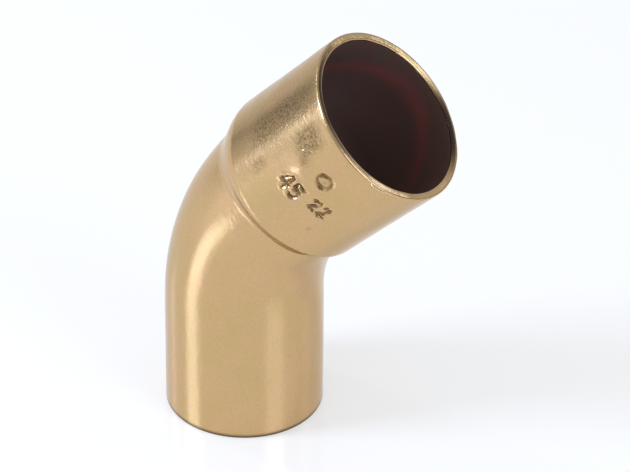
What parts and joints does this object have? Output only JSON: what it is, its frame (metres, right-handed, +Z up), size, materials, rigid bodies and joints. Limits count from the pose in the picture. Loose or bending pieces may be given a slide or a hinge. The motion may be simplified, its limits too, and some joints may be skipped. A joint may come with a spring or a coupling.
{
  "type": "pipe elbow",
  "caption": "Forty-five degree copper street elbow: a plain sized spigot, a short smooth bend and a drawn solder socket at the other end.",
  "frame": {"origin": "centre of the spigot's flat end face, on the ground plane", "axes": "+Z up the spigot's axis into the fitting; the bend leans towards +X and the socket opens along +X+Z at forty-five degrees; XZ is the plane of symmetry"},
  "size_m": [0.0408, 0.0244, 0.0599],
  "materials": {
    "copper": "bright-dipped copper, satin, fine pressed grain"
  },
  "bodies": {
    "root": {"elbow_body": "copper"}
  },
  "joints": []
}
